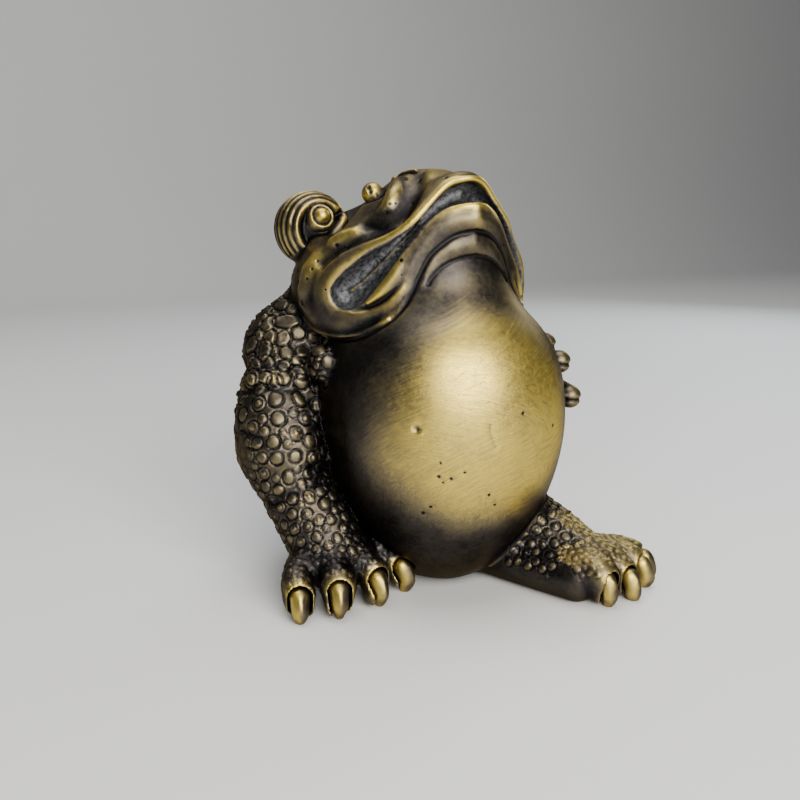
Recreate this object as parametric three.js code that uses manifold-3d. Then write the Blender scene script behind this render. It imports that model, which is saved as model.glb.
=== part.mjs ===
// Money toad: a brass casting of a three-legged toad that sits upright with its
// head thrown back. It faces -Y, +X is its left, and z = 0 is the surface it sits on.
import * as THREE from 'three';
import { mergeVertices } from 'three/addons/utils/BufferGeometryUtils.js';
import Module from 'manifold-3d';

// Driving sizes, in millimetres
const height = 100;          // floor to the top of the head
const lipRadius = 1.15;      // rolled rim of the mouth
const foldRadius = 0.95;     // carved fold under the lower lip and round the jowl
const eyeRadius = 9.3;       // dome of the eyelids
const lidGroove = 0.7;       // depth between two eyelid ridges
const pupilRadius = 2.1;     // domed pupil
const nostrilRadius = 2.7;   // bead of the nostril
const clawRadius = 2.3;      // root of a claw
const clawLength = 6.4;      // along its curve
const wartRadius = 1.75;     // largest wart
const wartHeight = 0.9;      // how far it stands up
const wartPitch = 11;        // from wart to wart

// The pose, the proportions and the soft fillets are hundredths of the height
const share = height / 100;
const goldenAngle = Math.PI * (3 - Math.sqrt(5));
const up = new THREE.Vector3(0, 0, 1);

const wasm = await Module();
wasm.setup();

const brass = new THREE.MeshStandardMaterial({ color: 0x8a7a4c, roughness: 0.38, metalness: 1 });

function point([x, y, z]) {
  return new THREE.Vector3(x, y, z).multiplyScalar(share);
}

function mirrored(row) {
  return [-row[0], ...row.slice(1)];
}

// Rows of the left half, from the centre line outwards, run on to the right half
function acrossHead(rows) {
  return [...rows.slice(1).map(mirrored).reverse(), ...rows];
}

// Closed geometry to solid and back
function solid(geometry) {
  geometry.deleteAttribute('normal');
  geometry.deleteAttribute('uv');
  const merged = mergeVertices(geometry);
  const vertProperties = new Float32Array(merged.attributes.position.array);
  const triVerts = new Uint32Array(merged.index.array);
  return new wasm.Manifold(new wasm.Mesh({ numProp: 3, vertProperties, triVerts }));
}

function joined(geometries) {
  return wasm.Manifold.union(geometries.map(solid));
}

function geometryOf(body) {
  const mesh = body.getMesh();
  const geometry = new THREE.BufferGeometry();
  geometry.setAttribute('position', new THREE.BufferAttribute(mesh.vertProperties, 3));
  geometry.setIndex(new THREE.BufferAttribute(mesh.triVerts, 1));
  return geometry;
}

// Forms are signed distances, negative inside, and run into each other in a soft fillet
function fillet(a, b, reach) {
  const overlap = Math.max(reach * share - Math.abs(a - b), 0) / (reach * share);
  return Math.min(a, b) - overlap * overlap * reach * share / 4;
}

function egg(place, radii) {
  const centre = point(place);
  const size = point(radii);
  return (spot) => {
    const local = spot.clone().sub(centre).divide(size);
    const depth = local.length();
    const slope = local.divide(size).length();
    return slope === 0 ? -size.x : depth * (depth - 1) / slope;
  };
}

// The pot belly is round in plan, squarer above its middle, longer and more pointed below it
const belly = {
  middle: 41, behind: 3, wide: 29.4, deep: 28.2, above: 31.5, below: 42, squareness: 2.3, pointedness: 1.85,
};

function potBelly(spot) {
  const rise = spot.z / share - belly.middle;
  const plan = Math.hypot(spot.x / share / belly.wide, (spot.y / share - belly.behind) / belly.deep);
  const power = rise > 0 ? belly.squareness : belly.pointedness;
  const climb = Math.abs(rise) / (rise > 0 ? belly.above : belly.below);
  return ((plan ** power + climb ** power) ** (1 / power) - 1) * belly.deep * share;
}

const throat = egg([0, 10, 72], [17.5, 18.5, 24]);
const back = egg([0, 22, 46], [27, 23, 34]);
const nape = egg([0, 35, 64], [21, 13, 21]);
const rump = egg([0, 24, 15], [25.5, 21, 19]);

function torso(spot) {
  const front = fillet(potBelly(spot), throat(spot), 8);
  const rear = fillet(fillet(back(spot), nape(spot), 10), rump(spot), 10);
  return fillet(front, rear, 10);
}

const cheeks = egg([0, 22, 71], [30.5, 26.5, 24]);
const snout = egg([0, 8.5, 84.5], [14.5, 14.4, 13.8]);
const noseRidge = egg([0, 14, 88], [8.5, 17, 10.6]);
const jowlLevel = 61;

// The jowls end in an edge that overhangs the neck
function head(spot) {
  const skull = fillet(fillet(cheeks(spot), snout(spot), 10), noseRidge(spot), 8);
  return Math.max(skull, jowlLevel * share - spot.z);
}

function figure(spot) {
  return Math.min(torso(spot), head(spot));
}

// Where a ray from inside leaves the form, by halving
function surfaceSpot(form, centre, ray) {
  const spot = new THREE.Vector3();
  let inner = 0;
  let outer = height;
  while (outer - inner > height * 1e-6) {
    const middle = (inner + outer) / 2;
    if (form(spot.copy(centre).addScaledVector(ray, middle)) < 0) inner = middle;
    else outer = middle;
  }
  return spot.copy(centre).addScaledVector(ray, inner);
}

// Skin of a form: every vertex of a sphere slides out from its centre to the surface
function skin(form, place, { around, down }) {
  const geometry = new THREE.SphereGeometry(1, around, down).rotateX(Math.PI / 2);
  const vertices = geometry.attributes.position;
  const ray = new THREE.Vector3();
  for (let i = 0; i < vertices.count; i += 1) {
    ray.fromBufferAttribute(vertices, i).normalize();
    vertices.setXYZ(i, ...surfaceSpot(form, point(place), ray));
  }
  return geometry;
}

// Limbs and folds are rows of x, y, z and, unless one radius is given, radius
function curveOf(rows) {
  return new THREE.CatmullRomCurve3(rows.map(point), false, 'centripetal');
}

function thicknessAt(rows, t) {
  const along = t * (rows.length - 1);
  const before = Math.min(Math.floor(along), rows.length - 2);
  return THREE.MathUtils.lerp(rows[before][3], rows[before + 1][3], along - before) * share;
}

// A round section carried along the curve, closed by a rounded end of two or three rings
function limb(rows, { sides, steps, radius }) {
  const curve = curveOf(rows);
  const frames = curve.computeFrenetFrames(steps, false);
  const endRings = sides > 7 ? 3 : 2;
  const rings = steps + 2 * endRings;
  const geometry = new THREE.SphereGeometry(1, sides, rings);
  const vertices = geometry.attributes.position;
  for (let ring = 0; ring <= rings; ring += 1) {
    const station = THREE.MathUtils.clamp(ring - endRings, 0, steps);
    const lift = (Math.PI / 2) * ((ring - endRings - station) / endRings);
    const t = curve.getUtoTmapping(station / steps);
    const reach = radius ?? thicknessAt(rows, t);
    const middle = curve.getPoint(t).addScaledVector(frames.tangents[station], Math.sin(lift) * reach);
    for (let side = 0; side <= sides; side += 1) {
      const angle = (side % sides) * (2 * Math.PI / sides);
      const spot = middle.clone();
      spot.addScaledVector(frames.normals[station], Math.cos(lift) * reach * Math.cos(angle));
      spot.addScaledVector(frames.binormals[station], -Math.cos(lift) * reach * Math.sin(angle));
      vertices.setXYZ(ring * (sides + 1) + side, ...spot);
    }
  }
  return geometry;
}

// A turned shape stood on a spot with its axis along a direction
function standOn(geometry, spot, direction) {
  const axis = new THREE.Vector3(0, 1, 0);
  geometry.applyQuaternion(new THREE.Quaternion().setFromUnitVectors(axis, direction.clone().normalize()));
  return geometry.translate(...spot);
}

// Mouth: the upper lip's rim turns round the corner and comes back under the lower lip
const rim = [
  [0, -6.8, 97.9], [4.4, -4.2, 96.9], [8.6, -3, 92.8], [13, -1.8, 88.1], [17.4, 2.2, 84], [22.2, 6.7, 80.7],
  [26.8, 10.2, 76.3], [28.4, 11.5, 71.7], [26, 9.4, 67.2], [22.2, 4.9, 66.7], [18.4, 1, 68.6], [15.2, -1.6, 73.2],
];
const upperLip = [
  [0, -3.2, 97.2, 2.8], [3.8, -1.9, 95.6, 2.7], [7.6, -0.8, 92, 2.5], [12, 0.5, 88, 2.4],
  [16.2, 4.2, 84, 2.4], [21, 8.6, 80.8, 2.4], [25.2, 11.8, 77, 2.5], [26.8, 13.5, 71.9, 2.6],
  [25.2, 11.9, 66.2, 2.7], [21.6, 7.1, 65.3, 2.8],
];
const mouth = [
  [0, -7.4, 95, 2.7], [4.7, -4.6, 93.8, 2.4], [8.4, -3, 90.6, 1.8], [13.4, -1.4, 85.2, 1.7],
  [16, 0.8, 82, 2.2], [19.7, 3.2, 78.4, 3.4], [23, 5.8, 74, 4.2], [24.6, 7.8, 71.8, 3.9],
];
const lipCrest = [
  [0, -8.6, 91.6], [5.2, -5.8, 90.6], [8.6, -3.4, 88.2], [12.2, -1.6, 83.7], [14.6, -0.7, 79.7],
  [16.8, -0.4, 76.2], [19.4, 1.2, 72.6], [21.8, 3, 69.8],
];
const lowerLip = [
  [0, -6.6, 88.8, 3.2], [4.6, -4.3, 87.8, 3.2], [7.8, -2.5, 85.4, 3.1], [11, -0.9, 80.9, 3],
  [14.2, 0.3, 75.1, 2.9], [17.6, 3.4, 69.2, 3.2], [22.9, 10.1, 65.3, 3.3], [26.6, 16.7, 65.6, 3.1], [28, 20, 69, 3],
];
const chin = [
  [0, -6, 82.9, 2.7], [3.8, -5.2, 82.2, 2.6], [6.8, -3.8, 80.4, 2.4], [9.8, -2.9, 76.6, 2.1], [12, -2, 72, 1.6],
];
const underLip = [
  [0, -9, 85.8], [4.8, -7.6, 85], [10.2, -5, 80.4], [12.5, -4.2, 75.9], [15.1, -3.7, 70.5], [18.2, -3.3, 67.1],
  [20.6, -1.9, 65], [23.1, 1, 62.7], [24.9, 7, 61], [26.2, 13, 60.6], [28, 18.6, 61.8], [29.2, 21.8, 64],
];

const eyeCentre = [22.2, 32.9, 86];
const eyeGaze = [0.1, -0.93, 0.36];
const nostril = [9.6, 23.2, 94.7];
const nostrilWing = [[15.8, 8.8, 90.4, 1.4], [13.4, 7.4, 92.2, 2], [11.8, 8.6, 94.2, 2.1], [9.4, 11.8, 96.2, 1.6]];
const eyeHollow = [[12, 28, 95, 5], [17, 25.5, 92.6, 6], [21.5, 22.5, 90.6, 6], [26, 20, 88.6, 5]];
const noseHollow = [[13.6, 13.5, 96.6, 2.6], [12.4, 19, 97, 4.4], [11.6, 24, 97.4, 5]];

// Eye, turned about its line of sight: domed pupil, ringed eyeball, then the eyelid
// ridges one behind another, each ridge and groove a point of the profile
function eye(side) {
  const eyeball = eyeRadius - 0.75 * pupilRadius;
  const profile = [
    new THREE.Vector2(0, eyeball + pupilRadius),
    new THREE.Vector2(pupilRadius * 0.7, eyeball + pupilRadius * 0.75),
    new THREE.Vector2(pupilRadius, eyeball),
    new THREE.Vector2(pupilRadius * 1.6, eyeball),
    new THREE.Vector2(pupilRadius * 1.9, eyeball - pupilRadius * 0.6),
  ];
  const ridges = [34, 49, 64, 80];
  const grooves = [42, 57, 72, 88];
  const lidAngles = [...ridges, ...grooves, 115, 144, 180].sort((a, b) => a - b);
  for (const degrees of lidAngles) {
    const angle = THREE.MathUtils.degToRad(degrees);
    const radius = grooves.includes(degrees) ? eyeRadius - lidGroove : eyeRadius;
    profile.push(new THREE.Vector2(degrees === 180 ? 0 : radius * Math.sin(angle), radius * Math.cos(angle)));
  }
  const place = side < 0 ? mirrored(eyeCentre) : eyeCentre;
  const gaze = side < 0 ? mirrored(eyeGaze) : eyeGaze;
  return standOn(new THREE.LatheGeometry(profile.reverse(), 10), point(place), point(gaze));
}

// The bead of the nostril stands in its hollow on a stem
function nose(side) {
  const place = side < 0 ? mirrored(nostril) : nostril;
  const wing = side < 0 ? nostrilWing.map(mirrored) : nostrilWing;
  const bead = new THREE.SphereGeometry(nostrilRadius, 7, 6).translate(...point(place));
  const stem = [[...place, 2], [place[0], place[1], place[2] - nostrilRadius / share - 4, 2]];
  return [bead, limb(stem, { sides: 5, steps: 1 }), limb(wing, { sides: 5, steps: 3 })];
}

function hollows() {
  const rows = [eyeHollow, noseHollow];
  const both = [...rows, ...rows.map((row) => row.map(mirrored))];
  return both.map((row) => limb(row, { sides: 6, steps: 3 }));
}

// Limbs run from the shoulder or hip outwards. The right arm props the toad up,
// the left hand rests on the flank and the one hind leg stretches forward.
const rightArm = [
  [-20, 32, 63, 11], [-29.5, 32, 54.5, 10.6], [-35, 25, 43.5, 10.8], [-36.6, 20.4, 33, 11],
  [-35.2, 14.4, 23, 8.6], [-32.5, 8.2, 14.5, 8.8], [-30.7, 3.5, 9, 8],
];
const leftArm = [
  [20, 32, 64, 11], [29, 35, 55, 10], [32, 37, 44, 8.8], [31.4, 28, 39, 8.2],
  [29.6, 18, 41, 7], [28.2, 8, 46.5, 6],
];
const hindLeg = [
  [8, 16, 14, 13], [15, 2, 12, 11.5], [19.5, -10, 10, 9.6], [23, -20, 7.2, 7.6], [26, -25.5, 5.6, 6.6],
];
const sole = [[8, 2, 7, 7], [13.5, -14, 5.6, 6], [17.8, -27, 4.8, 5.2]];

const palm = [[-39.5, 2, 9.4, 3.6], [-33.5, -0.6, 10, 4], [-27, 0.6, 9.6, 3.8], [-22, 3.4, 8.6, 3.2]];
const fingers = [
  [[-39, 4, 9, 3.8], [-42.2, 0.4, 8.8, 3.2], [-43.7, -3.6, 5.4, 3.9], [-43.9, -5.4, 2.8, 2.9]],
  [[-33.5, 2, 10, 4], [-34.2, -2.8, 9.8, 3.3], [-35.2, -6.6, 6.6, 4.1], [-36, -8.4, 3.4, 3.2]],
  [[-28, 3, 10, 4], [-26.4, -1.4, 9.8, 3.4], [-25.1, -5, 6.4, 3.8], [-25.5, -6.8, 3.2, 3]],
  [[-24, 6, 9, 3.6], [-19.6, 2.2, 8.8, 3], [-16.8, -1.2, 6.2, 3.2], [-16, -2.8, 3.2, 2.6]],
];
const toes = [
  [[18.5, -22, 6.5, 5.2], [20.4, -28.4, 7.4, 4.6], [21, -31.9, 6.2, 4.3], [21.2, -32.7, 3.6, 3.3]],
  [[25, -22, 6, 4.6], [27.8, -28.6, 6.6, 3.7], [28.6, -31.6, 5.2, 3.7], [28.5, -32.4, 3.4, 2.9]],
  [[28, -20, 6.6, 4.6], [33.6, -25.6, 7, 3.6], [35.6, -28, 5.6, 3.5], [35.8, -28.8, 3.8, 2.7]],
  [[29, -18, 6.6, 4.6], [37.4, -22.6, 6.8, 3.3], [39.8, -24.6, 5.2, 3.3], [40.2, -25.4, 3.6, 2.6]],
];
const restingFingers = [
  [[27, 13, 49, 3.5], [28, 6, 55, 3.2], [28.2, 0.5, 57, 2.9]],
  [[27, 11, 47, 3.6], [28.6, 2, 51.6, 3.2], [28.4, -5.2, 53.2, 2.9]],
  [[27.5, 9, 44, 3.6], [29.4, -1, 45.4, 3.2], [28.4, -9.6, 45, 2.9]],
];

// A claw grows from the last joint of a digit and hooks down towards the floor
function claw(digit) {
  const [knuckle, joint, tip] = digit.slice(-3).map(point);
  const outward = tip.clone().sub(knuckle).projectOnPlane(up).normalize();
  const bow = [[0, 0.6, 1], [0.5, 1.1, 0.85], [1, 0.7, 0.3]];
  const rows = bow.map(([along, out, taper]) => {
    const spot = joint.clone().addScaledVector(outward, out * clawRadius);
    spot.addScaledVector(up, -along * clawLength);
    return [...spot.divideScalar(share), taper * clawRadius / share];
  });
  return limb(rows, { sides: 5, steps: 2 });
}

// Warts are low domes, sunk a little so that their foot is buried
function wart(spot, outward, size) {
  const radius = size * wartRadius;
  const dome = new THREE.SphereGeometry(1, 5, 3).scale(radius, 1.5 * wartHeight, radius);
  return standOn(dome, spot.clone().addScaledVector(outward, -0.5 * wartHeight), outward);
}

// They wind round a limb by the golden angle, so that no two stand in line
function limbWarts(rows, from, to) {
  const curve = curveOf(rows);
  const girth = 2 * Math.PI * thicknessAt(rows, (from + to) / 2);
  const count = Math.round((to - from) * curve.getLength() * girth / wartPitch ** 2);
  const domes = [];
  for (let i = 0; i < count; i += 1) {
    const t = THREE.MathUtils.lerp(from, to, (i + 0.5) / count);
    const tangent = curve.getTangent(t);
    const level = up.clone().cross(tangent).normalize();
    const outward = level.applyAxisAngle(tangent, i * goldenAngle);
    const spot = curve.getPoint(t).addScaledVector(outward, thicknessAt(rows, t));
    const clear = figure(spot) > wartRadius && spot.z > 2 * wartRadius;
    if (clear) domes.push(wart(spot, outward, 0.8 + 0.25 * Math.abs(Math.sin(i))));
  }
  return domes;
}

function backWarts() {
  const centre = point([0, 14, 48]);
  const reach = 34 * share;
  const count = Math.round(4 * Math.PI * reach ** 2 / (1.5 * wartPitch) ** 2);
  const domes = [];
  for (let i = 0; i < count; i += 1) {
    const level = 1 - 2 * (i + 0.5) / count;
    const ray = new THREE.Vector3(Math.sqrt(1 - level ** 2), 0, level).applyAxisAngle(up, i * goldenAngle);
    const onBack = ray.y > 0.35 && Math.abs(level) < 0.8;
    if (onBack) domes.push(wart(surfaceSpot(figure, centre, ray), ray, 1.15));
  }
  return domes;
}

function castFigure() {
  const trunk = [skin(torso, [0, 10, 40], { around: 26, down: 20 }), skin(head, [0, 20, 76], { around: 26, down: 17 })];
  const forms = [
    limb(acrossHead(upperLip), { sides: 5, steps: 16 }),
    limb(acrossHead(lowerLip), { sides: 6, steps: 20 }),
    limb(acrossHead(chin), { sides: 5, steps: 8 }),
    limb(rightArm, { sides: 9, steps: 9 }),
    limb(leftArm, { sides: 9, steps: 9 }),
    limb(hindLeg, { sides: 10, steps: 7 }),
    limb(sole, { sides: 6, steps: 3 }),
    limb(palm, { sides: 5, steps: 3 }),
    ...nose(1),
    ...nose(-1),
    eye(1),
    eye(-1),
    ...[...fingers, ...toes, ...restingFingers].map((digit) => limb(digit, { sides: 6, steps: 3 })),
    ...[...fingers, ...toes].map(claw),
  ];
  const carved = [
    limb(acrossHead(mouth), { sides: 6, steps: 16 }),
    limb(acrossHead(underLip), { sides: 4, steps: 20, radius: foldRadius }),
  ];
  const raised = [
    limb(acrossHead(rim), { sides: 4, steps: 24, radius: lipRadius }),
    limb(acrossHead(lipCrest), { sides: 4, steps: 14, radius: lipRadius }),
    ...limbWarts(rightArm, 0.12, 0.9),
    ...limbWarts(leftArm, 0.12, 0.8),
    ...limbWarts(hindLeg, 0.25, 0.9),
    ...backWarts(),
  ];
  const floor = new THREE.BoxGeometry(3 * height, 3 * height, height).translate(0, 0, -height / 2);
  const body = joined(trunk).subtract(joined(hollows())).add(joined(forms));
  const whole = body.subtract(joined(carved)).add(joined(raised)).subtract(solid(floor));
  return whole.decompose().reduce((casting, body) => (body.volume() > casting.volume() ? body : casting));
}

const toad = new THREE.Mesh(geometryOf(castFigure()), brass);
toad.name = 'toad';

const group = new THREE.Group();
group.add(toad);

export default group;
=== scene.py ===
# Money toad in cast brass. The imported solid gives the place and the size, and one fine skin is
# carved over the same forms: a distance field, meshed, then stamped with warts, pits and dents.
from functools import partial
import math
import bpy
import numpy as np
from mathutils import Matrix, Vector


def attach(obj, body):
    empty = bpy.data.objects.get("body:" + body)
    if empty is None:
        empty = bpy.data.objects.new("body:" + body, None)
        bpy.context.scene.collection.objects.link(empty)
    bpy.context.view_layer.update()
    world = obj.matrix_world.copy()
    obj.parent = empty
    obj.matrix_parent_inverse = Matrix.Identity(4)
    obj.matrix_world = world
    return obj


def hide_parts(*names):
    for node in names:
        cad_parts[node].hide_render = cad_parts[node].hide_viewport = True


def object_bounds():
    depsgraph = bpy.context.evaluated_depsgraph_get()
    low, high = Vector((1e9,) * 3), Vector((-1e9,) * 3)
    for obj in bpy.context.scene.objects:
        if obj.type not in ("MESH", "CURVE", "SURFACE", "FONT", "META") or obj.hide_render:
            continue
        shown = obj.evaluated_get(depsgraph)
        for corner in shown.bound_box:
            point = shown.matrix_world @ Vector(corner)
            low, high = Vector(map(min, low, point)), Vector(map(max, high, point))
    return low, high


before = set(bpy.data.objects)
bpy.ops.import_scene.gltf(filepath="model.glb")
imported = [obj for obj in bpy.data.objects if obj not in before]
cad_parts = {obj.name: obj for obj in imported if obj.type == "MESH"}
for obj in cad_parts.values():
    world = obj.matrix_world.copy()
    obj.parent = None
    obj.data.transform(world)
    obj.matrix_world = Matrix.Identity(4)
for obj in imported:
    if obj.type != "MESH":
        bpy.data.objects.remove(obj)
cadLow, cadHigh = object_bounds()
print("frame loaded")

# All carving is in hundredths of the toad's height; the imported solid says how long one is
solidTop = 100.55
share = (cadHigh.z - cadLow.z) / solidTop
seed = 27

carving = {
    "coarseStep": 1.2,  # first sweep through the block
    "fineSplits": 2,  # halvings of that step
    "band": 0.85,  # how deep under and over the skin the second sweep goes
    "triangles": 198000,  # what the finished skin may have
    "margin": (0.8, 0.5, 0.25),  # how near the solid's box it is eased
    "boxGap": 0.05,  # what it keeps clear of that box, and of the floor
    "floorGap": 0.01,
    "blockLow": (-52.4, -40.4, -2.4),
    "blockHigh": (47.5, 52.5, 104),
    "edgePasses": 10,  # how far the skin is smoothed to find its edges and its swellings
    "swellPasses": 60,
}


# Distances are in hundredths, negative inside. d*(d-1)/slope is the usual first-order distance
# to an ellipsoid, d being the length of the point divided by the radii.
def eggDistance(p, centre, radii):
    local = (p - np.float32(centre)) / np.float32(radii)
    depth = np.sqrt(np.einsum("ij,ij->i", local, local))
    slope = local / np.float32(radii)
    return depth * (depth - 1) / (np.sqrt(np.einsum("ij,ij->i", slope, slope)) + 1e-6)


# Nearest straight span of the path, less the radius there
def rodDistance(p, path):
    best = np.full(len(p), 1000, np.float32)
    for a, b in zip(path[:-1], path[1:]):
        span = b[:3] - a[:3]
        local = p - a[:3]
        t = np.clip(local @ span / (span @ span), 0, 1)
        local -= t[:, None] * span
        reach = np.sqrt(np.einsum("ij,ij->i", local, local)) - a[3] - (b[3] - a[3]) * t
        np.minimum(best, reach, out=best)
    return best


# Smooth minimum and smooth subtraction: a parabola of the given reach rounds the corner
def join(a, b, reach):
    h = np.maximum(reach - np.abs(a - b), 0) / reach
    return np.minimum(a, b) - h * h * reach / 4


def carve(a, b, reach):
    h = np.maximum(reach - np.abs(a + b), 0) / reach
    return np.maximum(a, -b) + h * h * reach / 4


# From 0 at the start to 1 at the end, as three squares less two cubes
def smoothStep(value, start, end):
    t = np.clip((value - start) / (end - start), 0, 1)
    return t * t * (3 - 2 * t)


# Centripetal Catmull-Rom curve through the rows as Hermite spans, the ends reflected; the
# radius runs straight from row to row
def curveThrough(rows, steps=5):
    rows = np.array(rows, np.float64)
    spots = rows[:, :3]
    spots = np.vstack([2 * spots[0] - spots[1], spots, 2 * spots[-1] - spots[-2]])
    knots = np.sqrt(np.linalg.norm(np.diff(spots, axis=0), axis=1))[:, None]
    a, b, c, d = spots[:-3], spots[1:-2], spots[2:-1], spots[3:]
    before, here, after = knots[:-2], knots[1:-1], knots[2:]
    start = ((b - a) / before - (c - a) / (before + here) + (c - b) / here) * here
    end = ((c - b) / here - (d - b) / (here + after) + (d - c) / after) * here
    t = (np.arange(steps) / steps)[:, None, None]
    curve = (2 * t**3 - 3 * t**2 + 1) * b + (t**3 - 2 * t**2 + t) * start
    curve = curve + (3 * t**2 - 2 * t**3) * c + (t**3 - t**2) * end
    radii = rows[:-1, 3:] + (rows[1:, 3:] - rows[:-1, 3:]) * t
    path = np.concatenate([curve, radii], axis=2).transpose(1, 0, 2).reshape(-1, 4)
    return np.vstack([path, rows[-1]]).astype(np.float32)


# The rows with one radius for all
def withRadius(rows, radius):
    return [(*row, radius) for row in rows]


# Distance to the rod along the curve through the rows
def toRod(p, rows):
    return rodDistance(p, curveThrough(rows))


# A shape is its box and its distance
def egg(centre, radii):
    centre, radii = np.float32(centre), np.float32(radii)
    return centre - radii, centre + radii, lambda p: eggDistance(p, centre, radii)


def rod(rows, steps=5):
    path = curveThrough(rows, steps)
    low = (path[:, :3] - path[:, 3:]).min(0)
    high = (path[:, :3] + path[:, 3:]).max(0)
    return low, high, lambda p: rodDistance(p, path)


# Works a shape into the distances, only at the points that can feel it
def work(d, p, shape, how, reach):
    low, high, distance = shape
    margin = reach + 3
    near = np.flatnonzero(np.all((p > low - margin) & (p < high + margin), axis=1))
    if len(near):
        d[near] = how(d[near], distance(p[near]), reach)


# Torso: the pot belly is round in plan, squarer above its middle, longer and more pointed below
belly = {"middle": 41, "behind": 3, "wide": 29.4, "deep": 28.2, "above": 31.5, "below": 42,
         "square": 2.3, "pointed": 1.85}
torsoEggs = {
    "throat": ((0, 10, 72), (17.5, 18.5, 24)),
    "back": ((0, 22, 46), (27, 23, 34)),
    "nape": ((0, 35, 64), (21, 13, 21)),
    "rump": ((0, 24, 15), (25.5, 21, 19)),
}
torsoReach = {"throat": 8, "rear": 10}  # how widely the corner between two forms is rounded


# The belly is a superellipsoid: the powers of the plan's and the height's shares add up to one
def bellyDistance(p):
    rise = p[:, 2] - belly["middle"]
    plan = np.hypot(p[:, 0] / belly["wide"], (p[:, 1] - belly["behind"]) / belly["deep"])
    power = np.where(rise > 0, belly["square"], belly["pointed"])
    climb = np.abs(rise) / np.where(rise > 0, belly["above"], belly["below"])
    return ((plan**power + climb**power) ** (1 / power) - 1).astype(np.float32) * belly["deep"]


# Throat joined to belly, then nape and rump to the back, then front to rear
def torsoDistance(p):
    throat, back, nape, rump = [eggDistance(p, *row) for row in torsoEggs.values()]
    front = join(bellyDistance(p), throat, torsoReach["throat"])
    rear = join(join(back, nape, torsoReach["rear"]), rump, torsoReach["rear"])
    return join(front, rear, torsoReach["rear"])


# Head: cheeks, snout and the ridge of the nose; the jowls end in an edge over the neck
headEggs = {
    "cheeks": ((0, 22, 71), (30.5, 26.5, 24)),
    "snout": ((0, 8.5, 84.5), (14.5, 14.4, 13.8)),
    "noseRidge": ((0, 14, 88), (8.5, 17, 10.6)),
}
headReach = {"snout": 10, "noseRidge": 8, "jowl": 2, "neck": 0.8}
jowlLevel = 61


# Three eggs joined, and all of it under the jowls' level cut off
def headDistance(p):
    cheeks, snout, ridge = [eggDistance(p, *row) for row in headEggs.values()]
    skull = join(join(cheeks, snout, headReach["snout"]), ridge, headReach["noseRidge"])
    return carve(skull, p[:, 2] - jowlLevel, headReach["jowl"])


# The face is carved on its left half, and its right half mirrors it
def mirrored(p):
    return np.abs(p) * np.float32([1, 0, 0]) + p * np.float32([0, 1, 1])


mouth = {
    "upperLip": [(0, -2.9, 96.7, 2.8), (1.6, -2.8, 96.5, 2.8), (4.2, -1.8, 95.3, 2.7),
        (7.6, -0.8, 92, 2.5), (12, 0.5, 88, 2.4), (16.2, 4.2, 84, 2.4), (21, 8.6, 80.8, 2.4),
        (25.2, 11.8, 77, 2.5), (26.8, 13.5, 71.9, 2.6), (25.2, 11.9, 66.2, 2.7),
        (21.6, 7.1, 65.3, 2.8)],
    "lowerLip": [(0, -6.6, 88.8, 3.2), (4.6, -4.3, 87.8, 3.2), (7.8, -2.5, 85.4, 3.1),
        (11, -0.9, 80.9, 3), (14.2, 0.3, 75.1, 2.9), (17.6, 3.4, 69.2, 3.2), (22.9, 10.1, 65.3, 3.3),
        (26.6, 16.7, 65.6, 3.1), (28, 20, 69, 3)],
    "chin": [(0, -6, 82.9, 2.7), (3.8, -5.2, 82.2, 2.6), (6.8, -3.8, 80.4, 2.4), (9.8, -2.9, 76.6, 2.1),
        (12, -2, 72, 1.6)],
    "pocket": [(0, -7.2, 94.9, 2.7), (1.8, -6.8, 94.7, 2.7), (4.7, -4.8, 93.7, 2.4),
        (8.4, -3, 90.6, 1.75), (11, -2.4, 88.2, 1.5), (13.4, -1.4, 85.2, 1.6), (16, 0.8, 82, 2.2),
        (19.7, 3.2, 78.4, 3.4), (23, 5.8, 74, 4.2), (24.6, 7.8, 71.8, 3.9)],
    "depths": [(0, -4.2, 94.9, 2.2), (1.8, -3.8, 94.6, 2.2), (4.4, -2.4, 93.4, 1.9),
        (8, -1.2, 90.2, 1.3), (12, 0.2, 86.8, 1.2), (15.6, 2, 82.4, 1.6), (19, 4.4, 78.4, 2.4),
        (22, 6.8, 74, 2.8)],
    "rim": [(0, -6.4, 97.8, 0.6), (1.8, -6, 97.6, 0.6), (4.4, -4.4, 96.9, 0.65), (8.6, -3, 92.8, 0.7),
        (13, -1.8, 88.1, 0.7), (17.4, 2.2, 84, 0.75), (22.2, 6.7, 80.7, 0.7), (26.8, 10.2, 76.3, 0.6),
        (28.4, 11.5, 71.7, 0.55), (26, 9.4, 67.2, 0.6), (22.2, 4.9, 66.7, 0.8), (18.4, 1, 68.6, 0.8),
        (15.2, -1.6, 73.2, 0.5)],
    "crest": [(0, -8.6, 91.6, 0.8), (2.2, -7.9, 91.5, 0.8), (5.2, -5.8, 90.6, 0.7),
        (8.6, -3.4, 88.2, 0.7), (12.2, -1.6, 83.7, 0.8), (14.6, -0.7, 79.7, 0.9),
        (16.8, -0.4, 76.2, 1.1), (19.4, 1.2, 72.6, 0.9), (21.8, 3, 69.8, 0.4)],
}

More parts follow.
